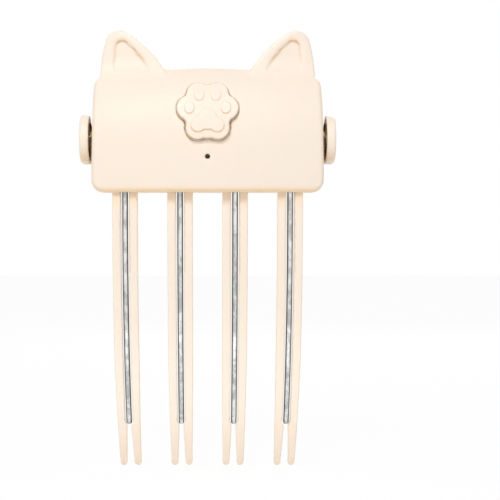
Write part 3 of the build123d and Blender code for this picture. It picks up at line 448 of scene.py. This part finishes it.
def fine_grid(name, voxel):
    """The CAD node's mesh, joined up and rebuilt as an even grid of small faces."""
    mesh = nodes[name].data.copy()
    form = bmesh.new()
    form.from_mesh(mesh)
    bmesh.ops.remove_doubles(form, verts=form.verts, dist=MERGED_WITHIN)
    form.to_mesh(mesh)
    form.free()
    rough = bpy.data.objects.new(name + "_rough", mesh)
    bpy.context.scene.collection.objects.link(rough)
    grid = rough.modifiers.new("grid", "REMESH")
    grid.mode = "VOXEL"
    grid.voxel_size = voxel
    grid.adaptivity = 0.0
    ready = rough.evaluated_get(bpy.context.evaluated_depsgraph_get())
    fine = bpy.data.meshes.new_from_object(ready)
    bpy.data.objects.remove(rough)
    bpy.data.meshes.remove(mesh)
    return fine


def cad_surface(name):
    """The CAD node's triangles, the normal at each corner, and a tree to find the nearest one."""
    mesh = nodes[name].data
    mesh.calc_loop_triangles()
    points = array_of(mesh.vertices, "co", 3)
    faces = array_of(mesh.loop_triangles, "vertices", 3, int)
    loops = array_of(mesh.loop_triangles, "loops", 3, int)
    tree = BVHTree.FromPolygons(points.tolist(), faces.tolist())
    return points[faces], array_of(mesh.corner_normals, "vector", 3)[loops], tree


def nearest(spots, surface):
    """The place on the CAD surface next to each spot, its smooth normal, and how far off it is."""
    corners, normals, tree = surface
    found = [tree.find_nearest(spot) for spot in spots.tolist()]
    places = np.array([hit[0] for hit in found])
    index = np.array([hit[2] for hit in found])
    far = np.array([hit[3] for hit in found])
    a, b, c = (corners[index, corner] for corner in range(3))
    across, along, inside = b - a, c - a, places - a
    d00, d01, d11 = (across * across).sum(1), (across * along).sum(1), (along * along).sum(1)
    d20, d21 = (inside * across).sum(1), (inside * along).sum(1)
    area = np.maximum(d00 * d11 - d01 * d01, TINY_AREA)
    v, w = (d11 * d20 - d01 * d21) / area, (d00 * d21 - d01 * d20) / area
    shares = np.clip(np.stack([1.0 - v - w, v, w], 1), 0.0, 1.0)
    return places, unit((normals[index] * shares[:, :, None]).sum(1)), far


START_PASSES = 2
FOLD_LIMIT = 1.5
FOLD_PASSES = 2
HELD_WITHIN = 0.02 * MM
FREE_BEYOND = 0.07 * MM
HOLD_PASSES = 3
NORMALS_APART = 0.90
NORMALS_ALIKE = 0.98
STILL_WITHIN = 0.005 * MM
MOVED_BEYOND = 0.04 * MM
STILL_PASSES = 2


def moulded(name, body, voxel, soft, fold_reach, fold_depth, shape):
    """A softened copy of a moulded node, with its folds and crests kept for the finish's painted
    shade and painted highlight.
    """
    surface = cad_surface(name)
    mesh = fine_grid(name, voxel)
    edges = array_of(mesh.edges, "vertices", 2, int)
    start = blurred(array_of(mesh.vertices, "co", 3), edges, START_PASSES)
    mesh.vertices.foreach_set("co", start.ravel())
    mesh.update()

    # A fold lies below its wider neighbourhood, and a crest above it.
    outward = array_of(mesh.vertex_normals, "vector", 3)
    wide = blurred(start, edges, fold_reach)
    fold = ((wide - start) * outward).sum(1, keepdims=True) / fold_depth
    fold = blurred(np.clip(fold, -FOLD_LIMIT, FOLD_LIMIT), edges, FOLD_PASSES)

    # Where the softened copy is still close to the CAD surface, it takes its place and its normal.
    spots = blurred(start, edges, soft)
    places, smooth, far = nearest(spots, surface)
    hold = blurred((1.0 - eased(far, HELD_WITHIN, FREE_BEYOND))[:, None], edges, HOLD_PASSES)
    spots = spots + hold * (places - spots)
    mesh.vertices.foreach_set("co", spots.ravel())
    mesh.update()
    own = array_of(mesh.vertex_normals, "vector", 3)
    agree = eased((own * smooth).sum(1), NORMALS_APART, NORMALS_ALIKE)[:, None]
    turned = unit(own + hold * agree * (smooth - own))

    # The piece's own reshaping; the vertices it moves take their new normals.
    moved = shape(spots, own)
    mesh.vertices.foreach_set("co", moved.ravel())
    mesh.update()
    shift = np.linalg.norm(moved - spots, axis=1)
    still = 1.0 - eased(shift, STILL_WITHIN, MOVED_BEYOND)[:, None]
    changed = array_of(mesh.vertex_normals, "vector", 3)
    turned = unit(changed + blurred(still, edges, STILL_PASSES) * (turned - changed))

    mesh.attributes.new("fold", "FLOAT", "POINT").data.foreach_set("value", fold.ravel())
    mesh.polygons.foreach_set("use_smooth", np.ones(len(mesh.polygons), bool))
    mesh.normals_split_custom_set_from_vertices(turned.tolist())
    mesh.materials.clear()
    mesh.materials.append(finishes["cream_plastic"])
    piece = bpy.data.objects.new(name + "_moulded", mesh)
    bpy.context.scene.collection.objects.link(piece)
    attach(piece, body)
    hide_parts(name)


BEND_POINTS = 24


def bend(start, middle, end):
    """Points along the quarter-like curve through three places, as a parabola."""
    start, middle, end = (np.array(place) for place in (start, middle, end))
    steps = np.linspace(0.0, 1.0, BEND_POINTS)[:, None]
    pull = 2.0 * middle - 0.5 * (start + end)
    return (1.0 - steps) ** 2 * start + 2.0 * steps * (1.0 - steps) * pull + steps**2 * end


def beside_line(spots, line):
    """How far each place lies from a closed line, at most 1 m, and whether it is inside."""
    ahead = np.roll(line, -1, axis=0)
    inside = np.zeros(len(spots), bool)
    far = np.full(len(spots), 1.0)
    for a, b in zip(line, ahead):
        run = b - a
        share = np.clip(((spots - a) @ run) / max(run @ run, TINY_SQUARE), 0.0, 1.0)[:, None]
        far = np.minimum(far, np.linalg.norm(spots - (a + share * run), axis=1))
        if a[1] != b[1]:
            level = (a[1] > spots[:, 1]) != (b[1] > spots[:, 1])
            inside ^= level & (spots[:, 0] < a[0] + (spots[:, 1] - a[1]) * run[0] / run[1])
    return far, inside


# The ear's hollow, seen from the front: its inner foot, its top, its outer foot and the bends
# between them, as x and z in millimetres.

HOLLOW_INNER_FOOT = (20.0, 42.6)
HOLLOW_INNER_BEND = (25.0, 51.4)
HOLLOW_TOP = (33.3, 59.2)
HOLLOW_OUTER_BEND = (34.5, 50.0)
HOLLOW_OUTER_FOOT = (34.2, 42.6)
HOLLOW_EDGE = 0.5 * MM
HOLLOW_DEPTH = 0.45 * MM
HOLLOW_BOTTOM = (43.4 * MM, 45.6 * MM)
HOLLOW_END = (46.5 * MM, 55.0 * MM)
EAR_FRONT_Y = 6.0 * MM
EAR_INNER_X = 18.0 * MM
EAR_ROOT_Z = 46.0 * MM
EAR_TOP_Z = 62.0 * MM
EAR_LOWERED = 0.95 * MM
FACES_FRONT = -0.3

LAMP_HOLE = (0.0, 0.0, 12.6 * MM)
ACROSS_Y = (1.0, 0.0, 1.0)
HOLE_WIDENED = 0.17 * MM
HOLE_RIM = 0.9 * MM
HOLE_REACH = 2.2 * MM


def front_worked(spots, outward):
    """The ears' hollows run on into the front, the ears are lower, and the lamp's hole is wider."""
    spots = spots.copy()
    hollow = [
        bend(HOLLOW_INNER_FOOT, HOLLOW_INNER_BEND, HOLLOW_TOP),
        bend(HOLLOW_TOP, HOLLOW_OUTER_BEND, HOLLOW_OUTER_FOOT),
    ]
    line = np.concatenate(hollow) * MM
    low = eased(spots[:, 2], *HOLLOW_BOTTOM) * (1.0 - eased(spots[:, 2], *HOLLOW_END))
    ear = (low > 0.0) & (outward[:, 1] < FACES_FRONT)
    ear &= (spots[:, 1] < EAR_FRONT_Y) & (np.abs(spots[:, 0]) > EAR_INNER_X)
    far, inside = beside_line(np.stack([np.abs(spots[ear, 0]), spots[ear, 2]], 1), line)
    spots[ear, 1] += np.where(inside, eased(far, 0.0, HOLLOW_EDGE), 0.0) * low[ear] * HOLLOW_DEPTH
    spots[:, 2] -= EAR_LOWERED * eased(spots[:, 2], EAR_ROOT_Z, EAR_TOP_Z)
    away = (spots - LAMP_HOLE) * ACROSS_Y
    reach = np.linalg.norm(away, axis=1)
    open_wide = HOLE_WIDENED * (1.0 - eased(reach, HOLE_RIM, HOLE_REACH)) * (spots[:, 1] < 0.0)
    spots += unit(away) * open_wide[:, None]
    return spots


TAB_INNER_X = 41.8 * MM
TAB_FOOT_Z = 11.3 * MM
TAB_KEPT_BELOW = 0.15


def tabs_trimmed(spots, _):
    """The arm's side tabs end level with the foot of the discs in front of them."""
    spots = spots.copy()
    x, y, z = spots.T
    beside = (np.abs(x) > TAB_INNER_X) & (z < TAB_FOOT_Z)
    spots[beside, 2] = TAB_FOOT_Z + (z[beside] - TAB_FOOT_Z) * TAB_KEPT_BELOW
    return spots


BUTTON_MIDDLE_Z = 28.5 * MM
SIDE_FACING = 0.3
GAP_AT_MOST = 0.2 * MM
SKIN_BESIDE = 0.6 * MM
BEFORE_THE_FRONT_Y = -0.04
SWELL = 0.115 * MM
SWELL_FROM = 0.02 * MM
SWELL_FULL = 0.16 * MM
RIM_ROUND_TOP = 0.3
RIM_ROUND_MORE = 0.8
RIM_CHANGES = (-5.0 * MM, 4.0 * MM)


def button_worked(spots, outward):
    """The button's front edge rolls over, and its side swells inside the wall to close the gap."""
    shell = cad_surface("front_shell")[2]
    spots = spots.copy()
    middle = np.array([0.0, 0.0, BUTTON_MIDDLE_Z])
    outline = []
    for number in np.flatnonzero(np.abs(outward[:, 1]) < SIDE_FACING):
        spot = spots[number].copy()
        _, side, _, far = shell.find_nearest(spot.tolist())
        if far > GAP_AT_MOST or abs(side.y) > SIDE_FACING:
            continue
        outline.append((spot[0], 0.0, spot[2]))
        start = spot + SKIN_BESIDE * unit(((spot - middle) * ACROSS_Y)[None, :])[0]
        skin = shell.ray_cast((start[0], BEFORE_THE_FRONT_Y, start[2]), (0.0, 1.0, 0.0))[0]
        if skin is not None:
            deep = eased(spot[1] - skin.y, SWELL_FROM, SWELL_FULL)
            spots[number] -= deep * SWELL * np.array((side.x, 0.0, side.z))
    rim = KDTree(len(outline))
    for number, place in enumerate(outline):
        rim.insert(place, number)
    rim.balance()
    for number in np.flatnonzero(outward[:, 1] < FACES_FRONT):
        spot = spots[number]
        below = eased(middle[2] - spot[2], *RIM_CHANGES)
        round_r = (RIM_ROUND_TOP + RIM_ROUND_MORE * below) * MM
        inset = round_r - min(rim.find((spot[0], 0.0, spot[2]))[2], round_r)
        spots[number, 1] += round_r - math.sqrt(round_r**2 - inset**2)
    return spots


# Name, body, voxel, softening passes, reach and depth of a fold, and the piece's own reshaping.

moulded("front_shell", "housing", 0.45 * MM, 6, 7, 0.13 * MM, front_worked)
moulded("rear_arm", "arm", 0.45 * MM, 3, 8, 0.16 * MM, tabs_trimmed)
moulded("paw_button", "button", 0.20 * MM, 5, 12, 0.06 * MM, button_worked)


# Floor, sky and lamps.

FLOOR_HALF = 4.0
FLOOR_BELOW_TIPS = 0.5 * MM
FLOOR_GLOW_SHARE = 0.94
FLOOR_GREY = (0.93, 0.93, 0.93)
FLOOR_GREY_LIGHT = (0.95, 0.95, 0.95)
SKY_LIGHT = 0.57
SKY_LIGHT_MORE_WHERE_SEEN = 0.43


def floor():
    """A wide pale floor under the comb's tips, which keeps the shadow."""
    low = cad_box[0].z - FLOOR_BELOW_TIPS
    sheet = bpy.data.meshes.new("floor")
    turns = ((-1, -1), (1, -1), (1, 1), (-1, 1))
    corners = [(x * FLOOR_HALF, y * FLOOR_HALF, low) for x, y in turns]
    sheet.from_pydata(corners, [], [(0, 1, 2, 3)])
    piece = bpy.data.objects.new("floor", sheet)
    bpy.context.scene.collection.objects.link(piece)
    material = bpy.data.materials.new("floor")
    material.use_nodes = True
    tree = material.node_tree
    tree.nodes.clear()
    f = Maker(tree)
    tint = f.mix(f.noise(30.0, 3.0), FLOOR_GREY, FLOOR_GREY_LIGHT)
    matt = f.node("ShaderNodeBsdfDiffuse", {}, {"Color": tint})
    glow = f.node("ShaderNodeEmission", {}, {"Color": WHITE, "Strength": 1.0})
    factor = f.seen() * FLOOR_GLOW_SHARE
    both = f.node("ShaderNodeMixShader", {}, {"Fac": factor, 1: matt, 2: glow})
    out = tree.nodes.new("ShaderNodeOutputMaterial")
    tree.links.new(both.socket, out.inputs["Surface"])
    sheet.materials.append(material)


def sky():
    """A white surround: full white where it is seen or mirrored, and softer where it lights."""
    world = bpy.data.worlds.new("white_room")
    bpy.context.scene.world = world
    world.use_nodes = True
    tree = world.node_tree
    tree.nodes.clear()
    f = Maker(tree)
    strength = SKY_LIGHT + SKY_LIGHT_MORE_WHERE_SEEN * f.seen()
    back = f.node("ShaderNodeBackground", {}, {"Color": WHITE, "Strength": strength})
    out = tree.nodes.new("ShaderNodeOutputWorld")
    tree.links.new(back.socket, out.inputs["Surface"])


def lamp(name, place, aim, size, power, colour=WHITE):
    """An area lamp of this size in metres and power in watts, turned to its aim and never seen."""
    light = bpy.data.lights.new(name, "AREA")
    light.shape = "RECTANGLE"
    light.size, light.size_y = size
    light.energy = power
    light.color = colour
    holder = bpy.data.objects.new(name, light)
    holder.location = place
    holder.rotation_euler = (Vector(aim) - Vector(place)).to_track_quat("-Z", "Y").to_euler()
    holder.visible_camera = False
    bpy.context.scene.collection.objects.link(holder)


KEY_TINT = (1.0, 0.99, 0.98)

floor()
sky()
lamp("front_key", (-0.14, -0.72, 0.60), MIDDLE, (0.32, 0.26), 3.75, KEY_TINT)
lamp("back_fill", (0.15, 0.85, 0.45), MIDDLE, (0.6, 0.5), 2.4)
lamp("tip_light", (0.0, -0.03, -0.097), (0.0, 0.04, -0.095), (0.16, 0.012), 0.008)
